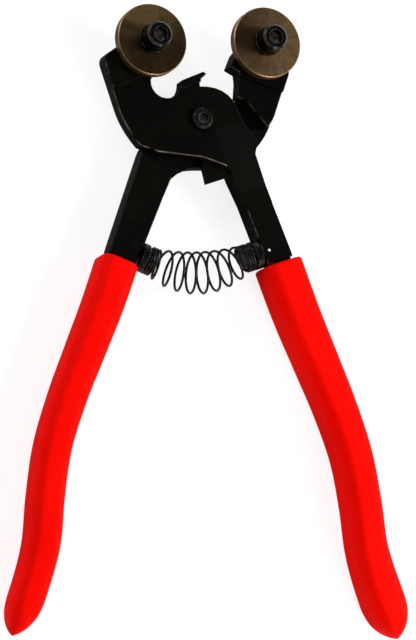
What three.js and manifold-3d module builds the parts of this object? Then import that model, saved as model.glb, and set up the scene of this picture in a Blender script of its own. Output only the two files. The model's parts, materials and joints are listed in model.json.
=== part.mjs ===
// Wheeled mosaic glass nippers, lying on their back and held open by the return spring.
// Units are millimetres. +Y runs from the grips to the wheels and +Z through the tool's thickness.
// The origin is on the pivot axis, in the plane that the tool lies on.
// The front half carries the left jaw and the right handle, the rear half the right jaw and the left handle.
import * as THREE from 'three';
import { mergeVertices } from 'three/addons/utils/BufferGeometryUtils.js';
import Module from 'manifold-3d';

const wasm = await Module();
wasm.setup();

// Driving dimensions: thicknesses and heights
const gripDepth = 13;            // grip section through the tool's thickness
const shankThickness = 6;        // handle forgings, centred in the grips
const rearPlate = 4.25;          // rear half where the two halves lap
const lapGap = 0.3;              // running gap between the lapped plates
const frontPlate = 3.85;         // front half where the two halves lap
const seatRise = 1;              // wheel seats stand this much above the front plate
const edgeChamfer = 0.3;
const runningGap = 0.5;          // beside faces that sweep past each other
const faceGap = 0.05;            // between clamped faces
const pressGap = 0.02;           // radial, where a pin, stud or screw sits tight
const headChamfer = 0.6;         // on screw heads and stud ends
const socketShare = 0.5;         // depth of a hexagon socket against the head's height

// Driving dimensions: wheels and their screws
const wheelDiameter = 21.6;
const wheelThickness = 3;
const wheelEdge = 0.3;           // chamfer on the wheel's rims
const wheelScrew = 5;            // M5
const wheelHead = 7.8;
const wheelHeadHeight = 5;
const wheelSocket = 4;
const lockWasher = 8.6;
const lockWasherThickness = 1.3;
const leftWheelAt = [-16.5, 21.8];
const rightWheelAt = [20.3, 24.1];
const holeClearance = 0.25;      // radial, round a screw
const screwFloor = 1.5;          // steel left behind a wheel screw's blind hole
const screwTipGap = 0.5;
const washerSplit = 0.7;

// Driving dimensions: pivot
const pivotScrew = 5;
const pivotHead = 6.4;
const pivotHeadHeight = 2.8;
const pivotRecess = 1.2;         // the head sits this deep in the front plate
const pivotSocket = 3;
const pivotWasher = 11;
const pivotWasherThickness = 0.8;
const pivotNutAcross = 8;

// Driving dimensions: handles, grips and spring
const rearDisc = 10.2;           // radius of the rear half's pivot disc
const lapReach = 19.2;           // reach of the lapped plates and the lug from the pivot
const handleShift = 0.3;         // the open handles stand slightly right of the pivot
const tangWidth = 7.6;
const tangEndWidth = 6.4;
const tangShare = 0.88;          // how far down the grip the tang reaches
const gripWall = 0.3;            // clearance between tang and grip
const leftGripWidth = 11.3;
const rightGripWidth = 12.8;
const gripWaist = 0.84;          // width of the lower grip against its top
const studDiameter = 6.2;
const studFlange = 8.6;
const studFlangeThickness = 2.2;
const studLength = 5.6;
const studShank = 3;
const studDepth = 5;             // how deep a stud sits in its handle
const leftStudAt = [-19, -41.2];
const rightStudAt = [19.2, -38.6];
const studSeatGap = 0.35;        // between a stud's flange and its handle
const pinDiameter = 1.3;
const pinOverlap = 1.5;          // how far a pin runs past the handle's middle
const pinProud = 0.1;
const springWire = 0.75;
const springMiddle = gripDepth - springWire - 0.15;     // mean coil diameter, just clear of the table
const springOnStud = 0.5;        // radial clearance between the coil's ends and the studs
const springEnd = studDiameter + springOnStud * 2 + springWire;
const springTurns = 8;           // open turns
const springEndTurns = 3;        // close-wound turns on each stud
const closePitch = 1.12;         // spacing of the close turns against the wire
const springBow = 3.5;           // how far its middle bows towards the grips

// Heights that follow
const middle = gripDepth / 2;
const shankBack = middle - shankThickness / 2;
const shankFront = middle + shankThickness / 2;
const headBack = shankBack;
const lapRear = headBack + rearPlate;
const lapFront = lapRear + lapGap;
const headFront = lapFront + frontPlate;
const seatFront = headFront + seatRise;
const shoulder = lapReach + runningGap;      // where the handles thicken outside the lapped plates
const far = 300;

const steel = { color: 0x1b1a18, roughness: 0.55, metalness: 0.8 };
const blackScrew = { color: 0x101012, roughness: 0.35, metalness: 0.9 };
const carbide = { color: 0x8d7c68, roughness: 0.4, metalness: 0.95 };
const springSteel = { color: 0x2a2a2c, roughness: 0.35, metalness: 0.95 };
const redVinyl = { color: 0xe8200c, roughness: 0.45, metalness: 0 };
const pinSteel = { color: 0xb9b9b6, roughness: 0.3, metalness: 0.95 };

const assembly = new THREE.Group();

// A closed geometry as a solid for joining and cutting
function toSolid(geometry) {
  const bare = geometry.index ? geometry.toNonIndexed() : geometry.clone();
  for (const name of Object.keys(bare.attributes)) {
    if (name !== 'position') bare.deleteAttribute(name);
  }
  const merged = mergeVertices(bare, 1e-4);
  return new wasm.Manifold(new wasm.Mesh({
    numProp: 3,
    vertProperties: new Float32Array(merged.attributes.position.array),
    triVerts: new Uint32Array(merged.index.array),
  }));
}

function toGeometry(solid) {
  const { vertProperties, triVerts } = solid.getMesh();
  const geometry = new THREE.BufferGeometry();
  geometry.setAttribute('position', new THREE.BufferAttribute(vertProperties, 3));
  geometry.setIndex(new THREE.BufferAttribute(triVerts, 1));
  geometry.computeVertexNormals();
  return geometry;
}

function addPiece(name, shape, finish) {
  const geometry = shape.isBufferGeometry ? shape : toGeometry(shape);
  const piece = new THREE.Mesh(geometry, new THREE.MeshStandardMaterial(finish));
  piece.name = name;
  assembly.add(piece);
  return piece;
}

function outline(points) {
  const shape = new THREE.Shape();
  shape.moveTo(...points[0]);
  for (const point of points.slice(1)) {
    if (point.length === 2) shape.lineTo(...point);
    if (point.length === 4) shape.quadraticCurveTo(...point);
    if (point.length === 6) shape.absarc(...point);
  }
  shape.closePath();
  return shape;
}

// A flat plate between two heights. inset and slope give the chamfer round its front or back edge.
function plate(shape, low, high, { front = 0, back = 0, inset = front + back, rounds = 6 } = {}) {
  const slope = front + back;
  const geometry = new THREE.ExtrudeGeometry(shape, {
    depth: high - low,
    bevelEnabled: slope > 0,
    bevelThickness: slope,
    bevelSize: inset,
    bevelOffset: -inset,
    bevelSegments: 1,
    curveSegments: rounds,
  });
  geometry.translate(0, 0, low + back - front);
  let solid = toSolid(geometry);
  if (front > 0) solid = solid.subtract(block([0, 0, low - far / 2], [far, far, far]));
  if (back > 0) solid = solid.subtract(block([0, 0, high + far / 2], [far, far, far]));
  return solid;
}

function block(centre, size, turn = 0) {
  const geometry = new THREE.BoxGeometry(...size);
  geometry.rotateZ(turn);
  geometry.translate(...centre);
  return toSolid(geometry);
}

function rod(at, radius, low, high, sides = 32) {
  const geometry = new THREE.CylinderGeometry(radius, radius, high - low, sides);
  geometry.rotateX(Math.PI / 2);
  geometry.translate(at[0], at[1], (low + high) / 2);
  return toSolid(geometry);
}

// Everything on the left of the line through two points, looking from the first to the second
function sideOf(from, to, low, high) {
  const along = Math.atan2(to[1] - from[1], to[0] - from[0]);
  const middleOfLine = [(from[0] + to[0]) / 2, (from[1] + to[1]) / 2];
  const x = middleOfLine[0] - Math.sin(along) * far / 2;
  const y = middleOfLine[1] + Math.cos(along) * far / 2;
  return block([x, y, (low + high) / 2], [far * 2, far, high - low], along);
}

// ---------------------------------------------------------------- outlines of the two forgings

const noseRadius = 6.4;          // round the wheel screw
const notchAt = [-10.9, 10.3];
const notchRadius = 4.75;

// Left jaw, pivot disc with its beak, and the root of the right handle, seen from the front
function frontOutline() {
  return outline([
    [-19.5, -9.4],
    [-24.5, -3.9, -26.2, 1.8],
    [-30.3, 14.6],
    [-30.7, 16.3, -29.5, 17.4],
    [-24.3, 21.2],
    [leftWheelAt[0], leftWheelAt[1], noseRadius, Math.PI, 0, true],
    [-15.65, 10.6],
    [notchAt[0], notchAt[1], notchRadius, Math.PI * 0.99, Math.PI * 1.97, false],
    [-6.0, 11.2],
    [0.7, 14.3],
    [1.7, 13.7],
    [-0.1, 12.0],
    [-0.1, 10.0],
    [8.3, 11.0, 11.7, 4.7],
    [12.9, 1.0, 14.4, -0.9],
    [18.3, -4.8],
    [17.6, -9.0],
    [23.1, -23.2],
    [13.9, -23.3],
    [9.4, -14.2],
    [3.9, -12.5],
    [0.0, -11.5],
    [-13.6, -10.9],
  ]);
}

const rearRootTurn = Math.PI * 0.81;                     // where the left root leaves the rear disc
const rearRootHeel = [-17.5, -9.6];

// Rear half behind the front plate: pivot disc, web to the right jaw, root of the left handle
function rearOutline() {
  return outline([
    [18.1, -7.7],
    [22.8, -2.8, 24.3, 2.2],
    [25.6, 7.0],
    [12.0, 7.0],
    [0, 0, rearDisc, Math.PI * 0.19, rearRootTurn, false],
    rearRootHeel,
    [-22.3, -23.2],
    [-12.2, -23.2],
    [-8.9, -16.6, -3.2, -14.3],
    [0, -13.5, 6, -13.6],
    [14.1, -11.6],
    [15.9, -9.8],
  ]);
}

// Right jaw where it stands in front of the lap, with the spike on its inner edge
function rightJawOutline() {
  return outline([
    [21.4, -0.8],
    [23.4, 1.2, 24.3, 4.4],
    [28.3, 15.2],
    [28.9, 16.9, 27.8, 17.9],
    [24.8, 21.4],
    [rightWheelAt[0], rightWheelAt[1], noseRadius, 0, Math.PI, false],
    [11.3, 21.0],
    [9.4, 16.5],
    [12.2, 15.1],
    [12.4, 12.4],
    [11.9, 7.6],
    [14.2, 6.9],
    [17.3, 3.8],
  ]);
}

// Back of a jaw, tapering to the rear; the same on both sides
function jawBackOutline(side, wheelAt, inner) {
  return outline([
    [side * 16.4, side < 0 ? -4.2 : -1.4],
    [side * 23.4, side < 0 ? 0.6 : 2.8],
    [side * 27.7, 14.6],
    [side * 27.9, 16.4, side * 26.8, 17.8],
    [wheelAt[0] + side * noseRadius, wheelAt[1]],
    [wheelAt[0], wheelAt[1], noseRadius, side < 0 ? Math.PI : 0, side < 0 ? 0 : Math.PI, side < 0],
    [side * inner, 12.0],
    [side * inner, 6.6],
  ]);
}

const rightJawInner = 12.6;      // inner edge of each jaw behind the lap plane
const leftJawInner = 12.4;
const jawTaper = { back: 4, inset: 2.2 };

// Lines across the two jaws and the beak where the wheel seats and the beak rise
const leftSeatLine = [[-27.4, 7.2], [-20.1, 10.5]];
const rightSeatLine = [[21.2, 11.7], [26.3, 10.3]];
const beakLine = [[-6.9, 8.3], [-0.5, 11.1]];
const seatEdge = notchAt[0] - 1.6;            // raised seat on the left of this, raised beak on the right

const leftShank = [
  [-17.8, -10.5], [-28.0, -38.7], [-28.9, -41.6], [-20.7, -44.7], [-11.8, -24.0], [-8.7, -17.2],
];
const lugPoints = [[0.4, -7.3], [1.0, -14.5], [2.0, -19.0], [9.6, -16.2], [10, -8]];
const rightShank = [
  [17.6, -9.0], [28.8, -37.6], [29.2, -39.0], [21.2, -42.2], [14.2, -24.0], [10.2, -15.6],
];
const rightHeel = [[9.9, -14.8], [14.2, -24.0], [16.0, -20.0], [12.6, -14.9]];    // inner corner of its root

// ---------------------------------------------------------------- handles

const handleCurves = [-1, 1].map((side) => new THREE.CatmullRomCurve3([
  [23.9, -37.6], [30.6, -56], [36.5, -70.2], [42.3, -84.3],
  [46.9, -98.4], [49.3, -112.5], [50.9, -126.3], [54.8, -139.4], [59.8, -151.9],
].map(([x, y]) => new THREE.Vector3(side * x + handleShift, y, middle))));

const handleTop = 0.045;             // where the shanks take their direction from the handle curves

// A bar with a rounded section that follows a handle's curve. sizeAt gives width and depth along it.
function curvedBar(curve, from, to, steps, sizeAt, corner, rounds) {
  const half = 0.5 - corner;
  const section = outline([
    [-half, -0.5],
    [half, -half, corner, -Math.PI / 2, 0, false],
    [half, half, corner, 0, Math.PI / 2, false],
    [-half, half, corner, Math.PI / 2, Math.PI, false],
    [-half, -half, corner, Math.PI, Math.PI * 1.5, false],
  ]);
  const options = { depth: 1, steps, bevelEnabled: false, curveSegments: rounds };
  const geometry = new THREE.ExtrudeGeometry(section, options);
  const position = geometry.attributes.position;
  for (let i = 0; i < position.count; i += 1) {
    const share = (1 - Math.cos(Math.PI * position.getZ(i))) / 2;
    const along = from + (to - from) * share;
    const centre = curve.getPointAt(along);
    const tangent = curve.getTangentAt(along);
    const [width, depth] = sizeAt(share);
    const across = position.getX(i) * width;
    position.setXYZ(
      i,
      centre.x - tangent.y * across,
      centre.y + tangent.x * across,
      centre.z + position.getY(i) * depth,
    );
  }
  const solid = toSolid(geometry);
  return solid.volume() > 0 ? solid : toSolid(flipped(geometry));
}

function flipped(geometry) {
  const position = geometry.attributes.position.array;
  for (let i = 0; i < position.length; i += 9) {
    for (let k = 0; k < 3; k += 1) {
      [position[i + 3 + k], position[i + 6 + k]] = [position[i + 6 + k], position[i + 3 + k]];
    }
  }
  return geometry;
}

const gripStarts = [0.052, 0.031];   // left and right, along the handle curve
const gripCorner = 0.3;              // corner radius against the section's sides
const gripFlares = [-0.04, 0.08];    // how much each lower grip widens again
const tipStart = 0.9;                // where the rounded tip begins, along the grip
const tipEnd = 0.12;                 // the tip's last section against the full one
const tipReach = 0.94;               // share of the tip's long curve that is used before it is rounded off
const tipRound = 16;                 // higher is a shorter rounding
const gripLip = 0.2;
const tangCorner = 0.18;

function tang(side, clearance = 0) {
  const curve = handleCurves[side < 0 ? 0 : 1];
  const sizeAt = (share) => [
    THREE.MathUtils.lerp(tangWidth, tangEndWidth, share) + clearance * 2,
    shankThickness + clearance * 2,
  ];
  const start = clearance > 0 ? 0.01 : 0.02;
  return curvedBar(curve, start, tangShare + (clearance > 0 ? 0.004 : 0), 10, sizeAt, tangCorner, 1);
}

function grip(side, width) {
  const curve = handleCurves[side < 0 ? 0 : 1];
  const sizeAt = (share) => {
    const waist = THREE.MathUtils.lerp(1, gripWaist, THREE.MathUtils.smoothstep(share, 0, 0.62));
    const flare = 1 + gripFlares[side < 0 ? 0 : 1] * THREE.MathUtils.smoothstep(share, 0.72, tipStart);
    const lip = Math.sqrt(1 - Math.max(0, 1 - share / 0.016) ** 2 * gripLip);
    const past = Math.max(0, (share - tipStart) / (1 - tipStart));
    const rounding = Math.sqrt(1 - past ** tipRound);
    const [tipWidth, tipDepth] = [2.6, 3.4].map(
      (power) => Math.max(tipEnd, (1 - (past * tipReach) ** power) * rounding),
    );
    return [width * waist * flare * lip * tipWidth, gripDepth * lip * tipDepth];
  };
  const outside = curvedBar(curve, gripStarts[side < 0 ? 0 : 1], 1, 26, sizeAt, gripCorner, 3);
  return outside.subtract(tang(side, gripWall));
}

const rampTop = 4;               // where the slope starts, along the handle from the pivot
const rampFoot = 24;
const rampEdge = 2.8;            // left edge of the sloped face, across the handle from the pivot
const rampWidth = 30;

// Slopes the front of the head down to the handle's front face
function rampCut() {
  const slope = outline([
    [rampTop, headFront], [rampFoot, shankFront], [far, shankFront], [far, far], [rampTop, far],
  ]);
  const geometry = new THREE.ExtrudeGeometry(slope, { depth: rampWidth, bevelEnabled: false });
  geometry.rotateX(Math.PI / 2);
  geometry.translate(0, rampWidth + rampEdge, 0);
  const direction = handleCurves[1].getTangentAt(handleTop);
  geometry.rotateZ(Math.atan2(direction.y, direction.x));
  return toSolid(geometry);
}

// ---------------------------------------------------------------- forgings

// The rear half's left root and everything right of it, with the running gap
function besideRearRoot() {
  const top = new THREE.Vector2(Math.cos(rearRootTurn), Math.sin(rearRootTurn)).multiplyScalar(rearDisc);
  const heel = new THREE.Vector2(...rearRootHeel);
  const along = heel.clone().sub(top).normalize();
  const gap = new THREE.Vector2(along.y, -along.x).multiplyScalar(runningGap);
  return sideOf(top.add(gap).toArray(), heel.add(gap).toArray(), 0, far);
}

function studAxis(side) {
  const tangent = handleCurves[side < 0 ? 0 : 1].getTangentAt(handleTop);
  return new THREE.Vector3(-side * Math.abs(tangent.y), -Math.abs(tangent.x), 0).normalize();
}

function alongAxis(geometry, at, axis) {
  const turn = new THREE.Quaternion().setFromUnitVectors(new THREE.Vector3(0, 1, 0), axis);
  geometry.applyQuaternion(turn);
  geometry.translate(...at);
  return geometry;
}

// Blind hole for a stud's shank, open towards the spring
function studHole(side, at) {
  const radius = studShank / 2 + pressGap;
  const length = studDepth + screwTipGap + studFlange;
  const geometry = new THREE.CylinderGeometry(radius, radius, length, 24);
  geometry.translate(0, studFlange - length / 2, 0);
  return toSolid(alongAxis(geometry, [...at, middle], studAxis(side)));
}

function pinPlace(side, at) {
  const axis = studAxis(side);
  return [at[0] - axis.x * studDepth * 0.5, at[1] - axis.y * studDepth * 0.5];
}

// Blind hole for a stud's pin, open to the front on the right handle and to the back on the left one
function pinHole(side, at) {
  const ends = [middle - side * (pinOverlap + pressGap), side * far];
  return rod(pinPlace(side, at), pinDiameter / 2 + pressGap, Math.min(...ends), Math.max(...ends), 16);
}

function frontHalf() {
  const shape = frontOutline();
  let head = plate(shape, lapFront, headFront, { front: edgeChamfer });
  const seatSide = sideOf(...leftSeatLine, lapFront, far)
    .intersect(block([seatEdge - far / 2, 0, 0], [far, far, far]));
  const beakSide = sideOf(...beakLine, lapFront, far)
    .intersect(block([seatEdge + far / 2, 0, 0], [far, far, far]));
  const raised = plate(shape, lapFront, seatFront, { front: edgeChamfer });
  head = head.subtract(rampCut());
  head = head.add(raised.intersect(seatSide.add(beakSide)));
  // jaw behind the lap plane, clear of the rear half's disc and handle root
  const jawBack = plate(jawBackOutline(-1, leftWheelAt, leftJawInner), headBack, lapFront, jawTaper)
    .subtract(besideRearRoot())
    .subtract(rod([0, 0], rearDisc + runningGap, 0, far))
    .subtract(rod(notchAt, notchRadius, 0, far, 24));
  // handle outside the lap, and the lug beside it
  const shank = plate(outline(rightShank), shankBack, shankFront, { front: edgeChamfer })
    .subtract(rod([0, 0], shoulder, 0, lapFront, 48))
    .add(plate(outline(rightHeel), shankBack, shankFront));
  const lug = plate(outline(lugPoints), lapFront, shankFront).intersect(rod([0, 0], lapReach, 0, far, 48));
  return head.add(jawBack).add(shank).add(lug).add(tang(1))
    .subtract(rod([0, 0], pivotScrew / 2 + holeClearance, 0, far))
    .subtract(rod([0, 0], pivotHead / 2 + holeClearance, headFront - pivotRecess, far))
    .subtract(rod(leftWheelAt, wheelScrew / 2 + pressGap, headBack + screwFloor, far, 24))
    .subtract(studHole(1, rightStudAt))
    .subtract(pinHole(1, rightStudAt));
}

function rearHalf() {
  const lap = plate(rearOutline(), headBack, lapRear, { back: edgeChamfer });
  const jawBack = plate(jawBackOutline(1, rightWheelAt, rightJawInner), headBack, lapRear, jawTaper);
  const shape = rightJawOutline();
  const boss = plate(shape, lapRear, headFront, { front: edgeChamfer });
  const raised = plate(shape, lapRear, seatFront, { front: edgeChamfer })
    .intersect(sideOf(...rightSeatLine, 0, far));
  const shank = plate(outline(leftShank), shankBack, shankFront, { front: edgeChamfer })
    .subtract(rod([0, 0], shoulder, lapRear, far, 48));
  return lap.add(jawBack).add(boss).add(raised).add(shank).add(tang(-1))
    .subtract(rod([0, 0], pivotScrew / 2 + holeClearance, 0, far))
    .subtract(rod(rightWheelAt, wheelScrew / 2 + pressGap, headBack + screwFloor, far, 24))
    .subtract(studHole(-1, leftStudAt))
    .subtract(pinHole(-1, leftStudAt));
}

// ---------------------------------------------------------------- wheels, screws and washers

function lathe(profile, sides) {
  const points = profile.map(([radius, height]) => new THREE.Vector2(radius, height));
  const geometry = new THREE.LatheGeometry([...points, points[0]], sides);
  geometry.rotateX(Math.PI / 2);
  return geometry;
}

function wheel(at) {
  const bore = wheelScrew / 2 + holeClearance;
  const radius = wheelDiameter / 2;
  const geometry = lathe([
    [bore, 0], [radius - wheelEdge, 0], [radius, wheelEdge],
    [radius, wheelThickness - wheelEdge], [radius - wheelEdge, wheelThickness], [bore, wheelThickness],
  ], 72);
  geometry.translate(at[0], at[1], seatFront + faceGap);
  return toSolid(geometry);
}

const wheelFront = seatFront + faceGap + wheelThickness;
const washerFront = wheelFront + faceGap + lockWasherThickness;

function splitWasher(at) {
  const low = wheelFront + faceGap;
  const ring = rod(at, lockWasher / 2, low, washerFront, 36)
    .subtract(rod(at, wheelScrew / 2 + holeClearance, 0, far, 24));
  const reach = lockWasher / 2;
  return ring.subtract(block([at[0] + reach, at[1] - 1, low], [reach + 2, washerSplit, far], -0.35));
}

function socketHead(at, radius, low, height, socket) {
  const geometry = lathe([
    [0, 0], [radius, 0], [radius, height - headChamfer], [radius - headChamfer, height], [0, height],
  ], 36);
  geometry.translate(at[0], at[1], low);
  const recess = rod(at, socket / Math.sqrt(3), low + height * (1 - socketShare), far, 6);
  return toSolid(geometry).subtract(recess);
}

function wheelScrewPiece(at) {
  const head = socketHead(at, wheelHead / 2, washerFront + faceGap, wheelHeadHeight, wheelSocket);
  const thread = rod(at, wheelScrew / 2, headBack + screwFloor + screwTipGap, washerFront + 1, 24);
  return head.add(thread);
}

const pivotHeadLow = headFront - pivotRecess + faceGap;
const nutTop = headBack - pivotWasherThickness - faceGap * 2;

function pivotScrewPiece() {
  const head = socketHead([0, 0], pivotHead / 2, pivotHeadLow, pivotHeadHeight, pivotSocket);
  return head.add(rod([0, 0], pivotScrew / 2, 0, pivotHeadLow + 0.5, 24));
}

function pivotNut() {
  return rod([0, 0], pivotNutAcross / Math.sqrt(3), 0, nutTop, 6)
    .subtract(rod([0, 0], pivotScrew / 2 + pressGap, -1, far, 24));
}

function pivotWasherPiece() {
  return rod([0, 0], pivotWasher / 2, headBack - faceGap - pivotWasherThickness, headBack - faceGap, 36)
    .subtract(rod([0, 0], pivotScrew / 2 + holeClearance, -1, far, 24));
}

// ---------------------------------------------------------------- spring and its studs

function stud(side, at) {
  const neck = studShank / 2;
  const post = studDiameter / 2;
  const flange = studFlange / 2;
  const geometry = lathe([
    [0, -studDepth], [neck, -studDepth], [neck, studSeatGap], [flange, studSeatGap],
    [flange, studFlangeThickness], [post, studFlangeThickness],
    [post, studLength - headChamfer], [post - headChamfer, studLength], [0, studLength],
  ], 24);
  geometry.rotateX(-Math.PI / 2);
  return toSolid(alongAxis(geometry, [...at, middle], studAxis(side)))
    .subtract(pinHole(side, at));
}

function studPin(side, at) {
  const place = pinPlace(side, at);
  const length = shankThickness / 2 + pinOverlap + pinProud;
  const radius = pinDiameter / 2;
  const geometry = lathe([
    [0, 0], [radius, 0], [radius, length - pinProud * 2], [radius / 2, length], [0, length],
  ], 16);
  if (side < 0) geometry.rotateX(Math.PI);
  geometry.translate(place[0], place[1], middle - side * pinOverlap);
  return toSolid(geometry);
}

// Conical coil: close turns on each stud, open turns bowed away from the pivot between them
class CoilCurve extends THREE.Curve {
  constructor(leftAt, rightAt) {
    super();
    this.starts = [[leftAt, -1], [rightAt, 1]].map(([at, side]) => {
      const lift = studFlangeThickness + springWire;
      return new THREE.Vector3(...at, middle).addScaledVector(studAxis(side), lift);
    });
    const closeLength = springEndTurns * springWire * closePitch;
    this.inner = [-1, 1].map((side, i) => (
      this.starts[i].clone().addScaledVector(studAxis(side), closeLength)
    ));
    const bowed = this.inner[0].clone().lerp(this.inner[1], 0.5);
    bowed.y -= springBow * 2;
    this.axis = new THREE.QuadraticBezierCurve3(this.inner[0], bowed, this.inner[1]);
    this.turns = springTurns + springEndTurns * 2;
  }

  getPoint(t, target = new THREE.Vector3()) {
    const turn = t * this.turns;
    const open = THREE.MathUtils.clamp((turn - springEndTurns) / springTurns, 0, 1);
    const before = Math.min(turn, springEndTurns) / springEndTurns;
    const after = Math.max(0, turn - springEndTurns - springTurns) / springEndTurns;
    const centre = this.axis.getPoint(open);
    const direction = this.axis.getTangent(open);
    if (before < 1) centre.lerpVectors(this.starts[0], this.inner[0], before);
    if (after > 0) centre.lerpVectors(this.inner[1], this.starts[1], after);
    const radius = (springEnd + (springMiddle - springEnd) * Math.sin(Math.PI * open) ** 0.7) / 2;
    const across = new THREE.Vector3(-direction.y, direction.x, 0);
    const angle = turn * Math.PI * 2 + Math.PI / 2;
    return target.copy(centre)
      .addScaledVector(across, Math.cos(angle) * radius)
      .addScaledVector(new THREE.Vector3(0, 0, 1), Math.sin(angle) * radius);
  }
}

function spring() {
  const section = new THREE.Shape().absarc(0, 0, springWire / 2, 0, Math.PI * 2);
  const curve = new CoilCurve(leftStudAt, rightStudAt);
  curve.arcLengthDivisions = 800;
  const geometry = new THREE.ExtrudeGeometry(section, {
    steps: curve.turns * 16, extrudePath: curve, bevelEnabled: false, curveSegments: 3,
  });
  const solid = toSolid(geometry);
  return solid.volume() > 0 ? solid : toSolid(flipped(geometry));
}

// ---------------------------------------------------------------- assembly

addPiece('front_half', frontHalf(), steel);
addPiece('rear_half', rearHalf(), steel);
addPiece('left_wheel', wheel(leftWheelAt), carbide);
addPiece('right_wheel', wheel(rightWheelAt), carbide);
addPiece('left_wheel_washer', splitWasher(leftWheelAt), blackScrew);
addPiece('right_wheel_washer', splitWasher(rightWheelAt), blackScrew);
addPiece('left_wheel_screw', wheelScrewPiece(leftWheelAt), blackScrew);
addPiece('right_wheel_screw', wheelScrewPiece(rightWheelAt), blackScrew);
addPiece('pivot_screw', pivotScrewPiece(), blackScrew);
addPiece('pivot_washer', pivotWasherPiece(), blackScrew);
addPiece('pivot_nut', pivotNut(), blackScrew);
addPiece('left_spring_stud', stud(-1, leftStudAt), blackScrew);
addPiece('right_spring_stud', stud(1, rightStudAt), blackScrew);
addPiece('left_stud_pin', studPin(-1, leftStudAt), pinSteel);
addPiece('right_stud_pin', studPin(1, rightStudAt), pinSteel);
addPiece('return_spring', spring(), springSteel);
addPiece('left_grip', grip(-1, leftGripWidth), redVinyl);
addPiece('right_grip', grip(1, rightGripWidth), redVinyl);

export default assembly;
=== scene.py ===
import json
import math

import bpy
from mathutils import Matrix, Vector


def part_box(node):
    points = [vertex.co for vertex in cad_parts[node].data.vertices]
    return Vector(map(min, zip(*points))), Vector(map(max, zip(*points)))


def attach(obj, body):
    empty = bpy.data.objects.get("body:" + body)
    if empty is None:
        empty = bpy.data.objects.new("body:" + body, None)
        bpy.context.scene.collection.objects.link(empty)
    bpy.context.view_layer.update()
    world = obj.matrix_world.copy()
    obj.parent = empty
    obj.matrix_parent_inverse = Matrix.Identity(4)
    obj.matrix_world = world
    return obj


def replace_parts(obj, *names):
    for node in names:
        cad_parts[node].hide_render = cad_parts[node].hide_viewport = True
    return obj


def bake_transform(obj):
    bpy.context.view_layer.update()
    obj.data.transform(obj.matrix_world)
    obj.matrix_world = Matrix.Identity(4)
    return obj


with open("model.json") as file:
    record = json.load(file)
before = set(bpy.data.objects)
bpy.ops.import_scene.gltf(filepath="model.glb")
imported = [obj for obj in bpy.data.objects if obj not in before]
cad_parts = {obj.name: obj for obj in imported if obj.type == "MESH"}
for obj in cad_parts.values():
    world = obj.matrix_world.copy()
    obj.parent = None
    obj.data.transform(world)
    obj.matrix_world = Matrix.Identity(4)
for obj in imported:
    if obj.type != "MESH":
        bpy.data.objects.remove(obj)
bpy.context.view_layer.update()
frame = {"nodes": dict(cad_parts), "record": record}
nodes = frame["nodes"]
MM = 0.001                      # the handle, grip and spring values below are in millimetres


# ------------------------------------------------------------------ node helpers
class Tree:
    """A material and short calls that add and join its nodes."""

    def __init__(self, name):
        self.material = bpy.data.materials.new(name)
        self.material.use_nodes = True
        self.tree = self.material.node_tree
        self.surface = self.tree.nodes["Principled BSDF"]
        piece = self.add("ShaderNodeTexCoord").outputs
        self.place = piece["Object"]
        self.facing = piece["Normal"]
        self.normal = self.add("ShaderNodeNewGeometry").outputs["Normal"]

    def add(self, kind, **settings):
        node = self.tree.nodes.new(kind)
        for key, value in settings.items():
            setattr(node, key, value)
        return node

    def put(self, socket, value):
        """Link another node's output, or write a plain value."""
        if isinstance(value, bpy.types.NodeSocket):
            self.tree.links.new(value, socket)
        else:
            socket.default_value = value

    def set(self, **inputs):
        for name, value in inputs.items():
            self.put(self.surface.inputs[name.replace("_", " ")], value)

    def noise(self, per_metre, detail=3.0, rough=0.55):
        """Soft spots that keep their place on the piece."""
        node = self.add("ShaderNodeTexNoise")
        self.put(node.inputs["Vector"], self.place)
        node.inputs["Scale"].default_value = per_metre
        node.inputs["Detail"].default_value = detail
        node.inputs["Roughness"].default_value = rough
        return node.outputs["Fac"]

    def from_axis(self, centre):
        """The place on the piece, measured from a middle."""
        node = self.add("ShaderNodeVectorMath", operation="SUBTRACT")
        self.put(node.inputs[0], self.place)
        node.inputs[1].default_value = centre
        return node.outputs["Vector"]

    def math(self, operation, a, b=0.0, clamp=False):
        node = self.add("ShaderNodeMath", operation=operation, use_clamp=clamp)
        self.put(node.inputs[0], a)
        self.put(node.inputs[1], b)
        return node.outputs[0]

    def span(self, value, low, high, to_low=0.0, to_high=1.0):
        """The value carried from one range to another, and held at its ends."""
        node = self.add("ShaderNodeMapRange")
        self.put(node.inputs["Value"], value)
        for name, number in (("From Min", low), ("From Max", high), ("To Min", to_low), ("To Max", to_high)):
            node.inputs[name].default_value = number
        return node.outputs["Result"]

    def mix(self, share, a, b):
        node = self.add("ShaderNodeMix", data_type="RGBA")
        self.put(node.inputs["Factor"], share)
        self.put(node.inputs["A"], a if isinstance(a, bpy.types.NodeSocket) else (*a, 1))
        self.put(node.inputs["B"], b if isinstance(b, bpy.types.NodeSocket) else (*b, 1))
        return node.outputs["Result"]

    def split(self, vector):
        node = self.add("ShaderNodeSeparateXYZ")
        self.put(node.inputs[0], vector)
        return node.outputs

    def bump(self, height, distance, strength, normal=None):
        node = self.add("ShaderNodeBump")
        node.inputs["Strength"].default_value = strength
        node.inputs["Distance"].default_value = distance
        self.put(node.inputs["Height"], height)
        if normal is not None:
            self.put(node.inputs["Normal"], normal)
        return node.outputs["Normal"]

    def soft_edges(self, radius):
        node = self.add("ShaderNodeBevel", samples=4)
        node.inputs["Radius"].default_value = radius
        return node.outputs["Normal"]

    def edge_share(self, soft):
        """Near 0 on flat faces and rising where the softened normal leaves the true one."""
        node = self.add("ShaderNodeVectorMath", operation="DOT_PRODUCT")
        self.put(node.inputs[0], soft)
        self.put(node.inputs[1], self.normal)
        return self.math("SUBTRACT", 1.0, node.outputs["Value"])


# ------------------------------------------------------------------ materials
def middle_of(node):
    """The middle of a CAD node's box."""
    low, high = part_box(node)
    return tuple((a + b) / 2 for a, b in zip(low, high))


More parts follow.
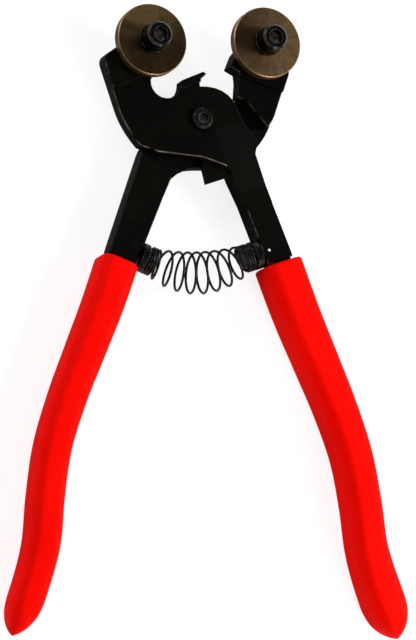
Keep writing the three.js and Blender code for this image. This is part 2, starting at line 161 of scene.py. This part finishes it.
BLACK_SKIN = ((0.0010, 0.0010, 0.0005), (0.0026, 0.0023, 0.0013))
BROWN_WALL = (0.0050, 0.0026, 0.0010)
LOOSE_SCALE = (0.010, 0.0085, 0.005)
# rubbed steel, also the colour of the painted highlight on edges and chamfers
RUBBED_STEEL_HIGHLIGHT = (0.19, 0.165, 0.125)


def slanted_faces(t, facing, strength=1.0):
    """Near the strength on chamfers that face partly up, and 0 on walls, flats and undersides."""
    return t.math("MULTIPLY", t.span(facing["Z"], 0.3, 0.6, 0, strength), t.span(facing["Z"], 0.95, 0.82))


def forged_steel(name, wear_and_highlight):
    """Black oxidised forging: a dark skin with a faint brown cast, and rubbed edges and chamfers with a
    painted highlight that is brightest along its lower edges.
    """
    t = Tree(name)
    broad = t.noise(60, 4, 0.6)
    grain = t.noise(1500, 2, 0.6)
    fine = t.noise(5200, 1, 0.5)
    facing = t.split(t.facing)
    side_wall = t.span(t.math("ABSOLUTE", facing["Z"]), 0.55, 0.15)
    browned = t.math("MULTIPLY", side_wall, t.span(broad, 0.3, 0.7, 0.2, 0.8))
    skin = t.mix(t.span(broad, 0.35, 0.7), *BLACK_SKIN)
    skin = t.mix(browned, skin, BROWN_WALL)
    skin = t.mix(t.span(grain, 0.60, 0.78, 0, 0.5), skin, LOOSE_SCALE)
    soft = t.soft_edges(0.2 * MM)
    patchy = t.span(t.noise(300, 3), 0.40, 0.66)
    rubbed_and_highlit = t.math("MULTIPLY", t.span(t.edge_share(soft), 0.02, 0.12, 0.0, 0.5), patchy)
    # chamfers that face partly up: a painted highlight, with rubbed wear
    chamfer = t.math("MULTIPLY", slanted_faces(t, facing), patchy)
    # painted highlight: edges and chamfers are brightest where they face down (negative Y)
    lower_edge_highlight = t.span(facing["Y"], 0.05, -0.55, 0.10 * wear_and_highlight, wear_and_highlight)
    worn_and_highlit = t.math("MULTIPLY", t.math("MAXIMUM", rubbed_and_highlit, chamfer), lower_edge_highlight, clamp=True)
    t.set(
        Base_Color=t.mix(worn_and_highlit, skin, RUBBED_STEEL_HIGHLIGHT),
        Roughness=t.math("ADD", t.span(grain, 0.3, 0.7, 0.36, 0.56), t.span(broad, 0.3, 0.7, -0.05, 0.05)),
        Normal=t.bump(t.math("ADD", grain, t.math("MULTIPLY", fine, 0.4)), 0.05 * MM, 0.7, soft),
    )
    t.surface.inputs["Metallic"].default_value = 0.0
    t.surface.inputs["Specular IOR Level"].default_value = 0.035
    return t.material


RIM_HIGHLIGHT_GAIN = 1.5                  # painted highlights on the rim's chamfer and the lower wall, as gains on the bright side of the face
LOWER_WALL_HIGHLIGHT_GAIN = 1.9


def wheel_carbide(name, centre, painted_fan_at, narrow, dark, bright):
    """Ground disc: fine turned rings and brushed sectors, a painted fan of light on one side, and a painted
    highlight on the rim and the lower wall.
    """
    t = Tree(name)
    facing = t.split(t.facing)
    level = t.math("ABSOLUTE", facing["Z"])
    flat = t.span(level, 0.90, 0.97)
    # the rim's chamfer, which gets a painted highlight below
    rim_highlight = t.math("MULTIPLY", t.math("SUBTRACT", 1.0, flat), t.span(level, 0.10, 0.30))
    offset = t.from_axis(centre)
    spread = t.split(offset)
    length = t.add("ShaderNodeVectorMath", operation="LENGTH")
    t.put(length.inputs[0], offset)
    radius = length.outputs["Value"]
    turn = t.math("ARCTAN2", spread["Y"], spread["X"])
    rings = t.add("ShaderNodeTexNoise", noise_dimensions="1D")
    t.put(rings.inputs["W"], radius)
    rings.inputs["Scale"].default_value = 2600
    rings.inputs["Detail"].default_value = 2
    sweep = t.add("ShaderNodeCombineXYZ")       # changes with the turn, and little with the radius
    t.put(sweep.inputs["X"], t.math("SINE", turn))
    t.put(sweep.inputs["Y"], t.math("COSINE", turn))
    t.put(sweep.inputs["Z"], t.math("MULTIPLY", radius, 40.0))
    sectors = t.add("ShaderNodeTexNoise")
    t.put(sectors.inputs["Vector"], sweep.outputs["Vector"])
    sectors.inputs["Scale"].default_value = 3.2
    sectors.inputs["Detail"].default_value = 3
    sectors.inputs["Roughness"].default_value = 0.5
    # painted reflection: a fan of light about the disc's axis, brightest at the given angle
    painted_fan = t.span(t.math("COSINE", t.math("SUBTRACT", turn, math.radians(painted_fan_at))), -1, 1)
    painted_fan = t.math("ADD", 0.15, t.math("POWER", painted_fan, narrow))
    mottle = t.span(t.noise(330, 4, 0.6), 0.32, 0.68, 0.72, 1.28)
    brushed = t.math("MULTIPLY", mottle, t.span(sectors.outputs["Fac"], 0.32, 0.68, 0.6, 1.25))
    share = t.math("MULTIPLY", painted_fan, brushed)
    fine = t.noise(2600, 2, 0.6)
    face = t.mix(t.math("MINIMUM", share, 1.0), dark, bright)
    face = t.mix(t.span(rings.outputs["Fac"], 0.45, 0.75, 0, 0.15), face, bright)
    face = t.mix(t.span(fine, 0.6, 0.8, 0, 0.15), face, bright)
    lit_wall = tuple(c * LOWER_WALL_HIGHLIGHT_GAIN for c in bright)
    # painted highlight: the disc's wall is lighter where it faces down
    wall = t.mix(t.span(facing["Y"], 0.2, -0.7), dark, lit_wall)
    face = t.mix(flat, wall, face)
    t.set(
        Base_Color=t.mix(rim_highlight, face, tuple(c * RIM_HIGHLIGHT_GAIN for c in bright)),
        Roughness=t.span(fine, 0.3, 0.7, 0.36, 0.50),
        Normal=t.bump(
            t.math("ADD", rings.outputs["Fac"], t.math("MULTIPLY", fine, 0.5)),
            0.02 * MM, 0.6, t.soft_edges(0.08 * MM),
        ),
    )
    t.surface.inputs["Metallic"].default_value = 1.0
    return t.material


# rubbed oxide, also the colour of the painted highlight ring on edges and chamfers
RUBBED_OXIDE_HIGHLIGHT = (0.40, 0.36, 0.32)
# painted glint on the floor of the key socket
SOCKET_GLINT = (0.42, 0.36, 0.30)
# the last value is how bright the painted glint on the socket floor gets
WHEEL_SOCKET = {"low": 18.6 * MM, "high": 21.6 * MM, "glint_strength": 0.9}
PIVOT_SOCKET = {"low": 11.4 * MM, "high": 12.4 * MM, "glint_strength": 0.25}


def black_gloss(name, base, rough, shine, rim_highlight, socket):
    """Black oxide with rubbed edges and a painted highlight on edges and chamfers, and a painted glint on
    the floor of the key socket between two heights.
    """
    t = Tree(name)
    facing = t.split(t.facing)
    height = t.split(t.place)["Z"]
    patch = t.noise(420, 3, 0.6)
    fine = t.noise(4200, 2, 0.5)
    soft = t.soft_edges(0.18 * MM)
    # rubbed edges and chamfers, with a painted highlight ring round the head
    rubbed_and_highlit = t.math("MAXIMUM", t.span(t.edge_share(soft), 0.05, 0.20), slanted_faces(t, facing, rim_highlight))
    worn_and_highlit = t.math("MULTIPLY", rubbed_and_highlit, t.span(patch, 0.40, 0.58, 0.08, 1.0), clamp=True)
    above = t.span(height, socket["low"], socket["low"] + 0.1 * MM)
    below = t.span(height, socket["high"], socket["high"] - 0.1 * MM)
    upward = t.span(facing["Z"], 0.80, 0.95)
    # painted glint on the up-facing socket floor, between the two heights
    glint_spots = t.math("MULTIPLY", upward, t.span(patch, 0.42, 0.60, 0.15, socket["glint_strength"]))
    socket_glint = t.math("MULTIPLY", t.math("MULTIPLY", above, below), glint_spots)
    skin = t.mix(t.math("MULTIPLY", worn_and_highlit, 0.8), base, RUBBED_OXIDE_HIGHLIGHT)
    t.set(
        Base_Color=t.mix(socket_glint, skin, SOCKET_GLINT),
        Roughness=t.span(patch, 0.3, 0.7, rough - 0.05, rough + 0.07),
        Normal=t.bump(fine, 0.015 * MM, 0.5, soft),
    )
    t.surface.inputs["Metallic"].default_value = 0.0
    t.surface.inputs["Specular IOR Level"].default_value = shine
    return t.material


def red_vinyl():
    """Smooth dipped vinyl with faint dimples."""
    t = Tree("red_vinyl")
    broad = t.noise(38, 3, 0.5)
    dimple = t.noise(900, 3, 0.55)
    fine = t.noise(4200, 2, 0.5)
    t.set(
        Base_Color=t.mix(t.span(broad, 0.35, 0.68), (0.88, 0.0018, 0.0004), (0.95, 0.0030, 0.0007)),
        Roughness=t.span(dimple, 0.3, 0.7, 0.46, 0.58),
        Normal=t.bump(t.math("ADD", dimple, t.math("MULTIPLY", fine, 0.3)), 0.035 * MM, 0.5),
    )
    t.surface.inputs["Specular IOR Level"].default_value = 0.02
    return t.material


def spring_wire():
    """Dark drawn wire, a little greyer in patches."""
    t = Tree("spring_wire")
    patch = t.noise(600, 3, 0.6)
    t.set(
        Base_Color=t.mix(t.span(patch, 0.45, 0.75), (0.002, 0.002, 0.002), (0.012, 0.011, 0.010)),
        Roughness=t.span(patch, 0.3, 0.7, 0.28, 0.44),
        Normal=t.bump(t.noise(3500, 2), 0.01 * MM, 0.4),
    )
    t.surface.inputs["Metallic"].default_value = 0.0
    t.surface.inputs["Specular IOR Level"].default_value = 0.18
    return t.material


def bright_pin(name, centre):
    """Pin end: a small polished crown painted as a bright glint, in a dark ring."""
    t = Tree(name)
    fine = t.noise(3000, 2, 0.6)
    spread = t.split(t.from_axis(centre))
    radius = t.math("SQRT", t.math("ADD", t.math("POWER", spread["X"], 2), t.math("POWER", spread["Y"], 2)))
    crown = t.span(radius, 0.46 * MM, 0.34 * MM)
    # painted glint: the polished crown is near white
    polished_glint = t.mix(t.span(fine, 0.35, 0.7), (0.80, 0.79, 0.77), (0.95, 0.94, 0.92))
    blackened = (0.004, 0.004, 0.004)
    t.set(
        Base_Color=t.mix(crown, blackened, polished_glint),
        Roughness=t.span(fine, 0.3, 0.7, 0.22, 0.36),
        Normal=t.bump(fine, 0.01 * MM, 0.4),
    )
    return t.material


FINISHES = {
    "front_half": forged_steel("front_steel", 1.0),
    "rear_half": forged_steel("rear_steel", 0.5),
    "black_hardware": black_gloss(
        "black_hardware", (0.0009, 0.0008, 0.0008), rough=0.22, shine=0.16, rim_highlight=0.13, socket=WHEEL_SOCKET,
    ),
    "pivot_hardware": black_gloss(
        "pivot_hardware", (0.0020, 0.0014, 0.0016), rough=0.30, shine=0.13, rim_highlight=0.03, socket=PIVOT_SOCKET,
    ),
    "left_stud_pin": bright_pin("left_pin", middle_of("left_stud_pin")),
    "right_stud_pin": bright_pin("right_pin", middle_of("right_stud_pin")),
    "spring_wire": spring_wire(),
    "red_vinyl": red_vinyl(),
}


def finish(piece, slot):
    """Give a piece one material and no other."""
    piece.data.materials.clear()
    piece.data.materials.append(FINISHES[slot])


FINISHES["left_wheel"] = wheel_carbide(
    "left_wheel_carbide", middle_of("left_wheel"), painted_fan_at=112, narrow=2.6,
    dark=(0.012, 0.0070, 0.0032), bright=(0.165, 0.105, 0.046),
)
FINISHES["right_wheel"] = wheel_carbide(
    "right_wheel_carbide", middle_of("right_wheel"), painted_fan_at=-12, narrow=0.7,
    dark=(0.038, 0.021, 0.0095), bright=(0.200, 0.122, 0.060),
)
slots = {row["node"]: row["material_slot"] for row in frame["record"]["subparts"]}
SMOOTH_BELOW = math.radians(24)
for name, piece in nodes.items():
    finish(piece, name if name in FINISHES else slots[name])
    bpy.context.view_layer.objects.active = piece
    piece.select_set(True)
    bpy.ops.object.shade_smooth_by_angle(angle=SMOOTH_BELOW, keep_sharp_edges=False)
    piece.select_set(False)


# ------------------------------------------------------------------ handle line
MIDDLE = 6.5                    # height of the handles' middle line above the table
SHIFT = 0.3                     # the handles' line of symmetry, to the right of the pivot
HANDLE = [                      # along the right handle's middle line, and mirrored for the left
    (23.9, -37.6), (30.6, -56.0), (36.5, -70.2), (42.3, -84.3),
    (46.9, -98.4), (49.3, -112.5), (50.9, -126.3), (54.8, -139.4), (59.8, -151.9),
]


def handle_line(side):
    """Place and direction at a share of the length, on a centripetal curve through HANDLE."""
    per_stretch = 200
    points = [Vector((side * x + SHIFT, y, MIDDLE)) for x, y in HANDLE]
    points = [points[0] * 2 - points[1], *points, points[-1] * 2 - points[-2]]
    dense = []
    for i in range(1, len(points) - 2):
        p0, p1, p2, p3 = points[i - 1:i + 3]
        d0, d1, d2 = (max((b - a).length ** 0.5, 1e-4) for a, b in ((p0, p1), (p1, p2), (p2, p3)))
        m1 = ((p1 - p0) / d0 - (p2 - p0) / (d0 + d1) + (p2 - p1) / d1) * d1
        m2 = ((p2 - p1) / d1 - (p3 - p1) / (d1 + d2) + (p3 - p2) / d2) * d1
        for k in range(per_stretch):
            s = k / per_stretch
            dense.append(
                p1 * (2 * s**3 - 3 * s**2 + 1) + m1 * (s**3 - 2 * s**2 + s)
                + p2 * (-2 * s**3 + 3 * s**2) + m2 * (s**3 - s**2)
            )
    dense.append(points[-2])
    lengths = [0.0]
    for a, b in zip(dense, dense[1:]):
        lengths.append(lengths[-1] + (b - a).length)

    def at(share):
        want = min(max(share, 0), 1) * lengths[-1]
        low, high = 0, len(lengths) - 1
        while high - low > 1:
            half = (low + high) // 2
            low, high = (half, high) if lengths[half] <= want else (low, half)
        step = (want - lengths[low]) / max(lengths[high] - lengths[low], 1e-9)
        return dense[low].lerp(dense[high], step)

    def tangent(share):
        return (at(min(share + 0.002, 1)) - at(max(share - 0.002, 0))).normalized()

    return at, tangent


LINES = {side: handle_line(side) for side in (-1, 1)}


def make_piece(name, points, faces, slot):
    """A smooth mesh object from points in millimetres, with its material and slot."""
    mesh = bpy.data.meshes.new(name)
    mesh.from_pydata([p * MM for p in points], [], faces)
    mesh.validate()
    mesh.update()
    for polygon in mesh.polygons:
        polygon.use_smooth = True
    piece = bpy.data.objects.new(name, mesh)
    bpy.context.scene.collection.objects.link(piece)
    finish(piece, slot)
    return piece


def rings_to_faces(count, around):
    """Quads between neighbouring rings of points, and one face that closes the last ring."""
    faces = []
    for i in range(count - 1):
        for k in range(around):
            a, b = i * around + k, i * around + (k + 1) % around
            faces.append((a, b, b + around, a + around))
    faces.append(tuple(reversed(range((count - 1) * around, count * around))))
    return faces


# ------------------------------------------------------------------ grips
def smoothstep(x, low, high):
    s = min(max((x - low) / (high - low), 0), 1)
    return s * s * (3 - 2 * s)


PER_CORNER = 9                  # points round each corner of a grip's section
TANG = (8.1, 6.6)               # opening in the grip's top, just outside the handle
TANG_CORNER = 0.2
GRIP_CORNER = 0.3               # corner radius against the section's sides
GRIP_DEPTH = 13.0
GRIP_WAIST = 0.84
GRIP_LENGTH = 119.0             # about the length of handle line that a grip covers
LIP = 0.9                       # rounding of the grip's open end
INSETS = (6.0, 3.0, 1.2)        # rings that line the opening, down from the lip
WAIST_AT = 0.62                 # share of the length where the grip is narrowest, and where it flares again
FLARE_FROM = 0.72
TIP_START = 0.9                 # share of the length where the tip begins
TIP_POWERS = (2.6, 3.4)         # how full the tip is in width and in depth
TIP_REACH = 0.94                # share of the tip's long curve that is used before it is rounded off
TIP_ROUND = 16                  # power of that rounding: a higher one is later and blunter
TIP_END = 0.02                  # smallest share of the width and depth, at the very tip
TIP_CORNER = 0.15               # how much rounder the section gets towards the tip


def rounded_section(width, depth, corner):
    """Points round a rectangle whose corners are quarter ellipses."""
    points = []
    for quarter in range(4):
        cx = (0.5 - corner) * width * (1 if quarter in (0, 3) else -1)
        cy = (0.5 - corner) * depth * (1 if quarter in (0, 1) else -1)
        for k in range(PER_CORNER):
            angle = (quarter + k / (PER_CORNER - 1)) * math.pi / 2
            points.append((cx + math.cos(angle) * corner * width, cy + math.sin(angle) * corner * depth))
    return points


def grip(side, name, width, start, flare_to, body):
    """A dipped sleeve: into the opening, round its lip, along the handle's line, and to a blunt tip."""
    at, tangent = LINES[side]
    points = []

    def ring(share, across, deep, corner):
        centre, along = at(start + (1 - start) * share), tangent(start + (1 - start) * share)
        for x, z in rounded_section(across, deep, corner):
            points.append(centre + Vector((-along.y * x, along.x * x, z)))

    for inset in INSETS:
        ring(inset / GRIP_LENGTH, *TANG, TANG_CORNER)
    lip_steps = 6
    for k in range(lip_steps + 1):
        turn = math.pi * k / lip_steps
        grow = (1 - math.cos(turn)) / 2
        place = (LIP - math.sin(turn) * LIP) / GRIP_LENGTH
        across = TANG[0] + (width - TANG[0]) * grow
        deep = TANG[1] + (GRIP_DEPTH - TANG[1]) * grow
        ring(place, across, deep, TANG_CORNER + (GRIP_CORNER - TANG_CORNER) * grow)
    steps = 120
    tip = 1 - TIP_START
    for k in range(1, steps + 1):
        share = k / steps
        if share > TIP_START:
            share = TIP_START + tip * math.sin((share - TIP_START) / tip * math.pi / 2)
        past = min(max((share - TIP_START) / tip, 0), 1)
        waist = 1 + (GRIP_WAIST - 1) * smoothstep(share, 0, WAIST_AT)
        flare = 1 + flare_to * smoothstep(share, FLARE_FROM, TIP_START)
        rounding = math.sqrt(1 - past**TIP_ROUND)
        wide, deep = (max(TIP_END, (1 - (past * TIP_REACH) ** power) * rounding) for power in TIP_POWERS)
        corner = GRIP_CORNER + TIP_CORNER * past
        ring(max(share, LIP / GRIP_LENGTH), width * waist * flare * wide, GRIP_DEPTH * deep, corner)
    around = 4 * PER_CORNER
    piece = make_piece(name, points, rings_to_faces(len(points) // around, around), "red_vinyl")
    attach(piece, body)
    return piece


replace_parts(grip(-1, "left_grip_skin", 11.3, 0.052, -0.04, "rear"), "left_grip")
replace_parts(grip(1, "right_grip_skin", 12.8, 0.031, 0.08, "front"), "right_grip")


# ------------------------------------------------------------------ return spring
def coil():
    """Close turns on each stud, and open turns that swell and bow towards the grips between them."""
    wire, turns, close = 0.75, 8, 3
    middle_size, end_size, bow, fullness = 12.1, 7.95, 3.5, 0.7
    stud_flange, close_pitch, handle_top = 2.2, 1.12, 0.045
    studs = {-1: Vector((-19.0, -41.2, MIDDLE)), 1: Vector((19.2, -38.6, MIDDLE))}
    starts, inner = [], []
    for side in (-1, 1):
        along = LINES[side][1](handle_top)
        axis = Vector((-side * abs(along.y), -abs(along.x), 0)).normalized()
        starts.append(studs[side] + axis * (stud_flange + wire))
        inner.append(starts[-1] + axis * (close * wire * close_pitch))
    bowed = (inner[0] + inner[1]) / 2 - Vector((0, bow * 2, 0))
    upward = Vector((0, 0, 1))

    def line(s):
        return inner[0] * (1 - s) ** 2 + bowed * 2 * s * (1 - s) + inner[1] * s**2

    def heading(s):
        return ((bowed - inner[0]) * (1 - s) + (inner[1] - bowed) * s).normalized()

    path = []
    total, per_turn = turns + 2 * close, 40
    for k in range(total * per_turn + 1):
        turn = k / per_turn
        s = min(max((turn - close) / turns, 0), 1)
        centre, along = line(s), heading(s)
        if turn < close:
            centre = starts[0].lerp(inner[0], turn / close)
        if turn > close + turns:
            centre = inner[1].lerp(starts[1], (turn - close - turns) / close)
        radius = (end_size + (middle_size - end_size) * math.sin(math.pi * s) ** fullness) / 2
        angle = turn * math.pi * 2 + math.pi / 2
        across = Vector((-along.y, along.x, 0))
        path.append(centre + across * math.cos(angle) * radius + upward * math.sin(angle) * radius)
    points, around = [], 12
    side_way = Vector((0, 1, 0))
    for k, point in enumerate(path):
        along = (path[min(k + 1, len(path) - 1)] - path[max(k - 1, 0)]).normalized()
        side_way = (side_way - along * side_way.dot(along)).normalized()
        up_way = along.cross(side_way)
        for j in range(around):
            angle = j / around * math.pi * 2
            points.append(point + (side_way * math.cos(angle) + up_way * math.sin(angle)) * wire / 2)
    faces = rings_to_faces(len(path), around) + [tuple(range(around))]
    return make_piece("return_spring_coil", points, faces, "spring_wire")


spring = coil()
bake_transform(spring)
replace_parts(spring, "return_spring")


# ------------------------------------------------------------------ floor, light and camera
LIT_POINT = Vector((0.0, -0.06, 0.0))
FLOOR_GLOW = 0.83               # makes the floor near white to the camera, with room for the shadow
AMBIENT = 0.24
BACKDROP = 1.1                  # world strength that the camera sees, as white


def lamp(name, place, size, power):
    """A round area light that faces the middle of the tool."""
    data = bpy.data.lights.new(name, "AREA")
    data.shape = "DISK"
    data.size = size
    data.energy = power
    light = bpy.data.objects.new(name, data)
    bpy.context.scene.collection.objects.link(light)
    light.location = place
    light.rotation_euler = (LIT_POINT - Vector(place)).to_track_quat("-Z", "Y").to_euler()


def grey(value):
    return (value, value, value)


def floor():
    """A pale floor: near white with a soft shadow to the camera, and plain light grey to all other rays."""
    mesh = bpy.data.meshes.new("floor")
    half = 3.0
    corners = [(-half, -half, 0), (half, -half, 0), (half, half, 0), (-half, half, 0)]
    mesh.from_pydata(corners, [], [(0, 1, 2, 3)])
    plane = bpy.data.objects.new("floor", mesh)
    plane.location.z = -0.3 * MM                # just below the table plane, clear of the pieces
    bpy.context.scene.collection.objects.link(plane)
    t = Tree("floor")
    mottle = t.noise(9, 2, 0.5)
    direct = t.add("ShaderNodeLightPath").outputs["Is Camera Ray"]
    seen = t.mix(mottle, grey(0.27), grey(0.29))
    bounced = t.mix(mottle, grey(0.86), grey(0.88))
    t.set(
        Base_Color=t.mix(direct, bounced, seen),
        Roughness=0.9,
        Emission_Color=(1.0, 1.0, 1.0, 1.0),
        Emission_Strength=t.math("MULTIPLY", direct, FLOOR_GLOW),
    )
    t.surface.inputs["Specular IOR Level"].default_value = 0.0
    mesh.materials.append(t.material)


def surroundings():
    """Even soft light from all round, shown as white to the camera."""
    world = bpy.data.worlds.new("studio")
    world.use_nodes = True
    bpy.context.scene.world = world
    tree = world.node_tree
    background = tree.nodes["Background"]
    rays = tree.nodes.new("ShaderNodeLightPath")
    strength = tree.nodes.new("ShaderNodeMapRange")
    tree.links.new(rays.outputs["Is Camera Ray"], strength.inputs["Value"])
    strength.inputs["To Min"].default_value = AMBIENT
    strength.inputs["To Max"].default_value = BACKDROP
    tree.links.new(strength.outputs["Result"], background.inputs["Strength"])
    background.inputs["Color"].default_value = (1, 1, 1, 1)


floor()
surroundings()
lamp("key", (1.10, -0.10, 0.72), size=0.5, power=14)
lamp("low_front", (0.50, -1.10, 0.62), size=0.5, power=8)
lamp("top", (-0.80, 0.80, 0.70), size=0.7, power=9)


def camera():
    """The viewing angle of the photograph: from the left and a little from the grip end."""
    yaw, pitch, roll = math.radians(23), math.radians(11), -0.0287
    distance, sensor, lens = 0.87805, 36, 168.8175
    aim = Vector((2.528, -59.168, MIDDLE)) * MM
    back = Vector((-math.sin(yaw) * math.cos(pitch), -math.sin(pitch), math.cos(yaw) * math.cos(pitch)))
    right = Vector((0, 1, 0)).cross(back).normalized()
    up = back.cross(right)
    turned_right = right * math.cos(roll) + up * math.sin(roll)
    turned_up = up * math.cos(roll) - right * math.sin(roll)
    data = bpy.data.cameras.new("camera")
    data.sensor_width = sensor
    data.lens = lens
    data.clip_start, data.clip_end = 0.05, 20
    eye = bpy.data.objects.new("camera", data)
    bpy.context.scene.collection.objects.link(eye)
    turn = Matrix((turned_right, turned_up, back)).transposed()
    eye.matrix_world = Matrix.Translation(aim + back * distance) @ turn.to_4x4()
    bpy.context.scene.camera = eye


camera()
bpy.context.scene.view_settings.view_transform = "Standard"
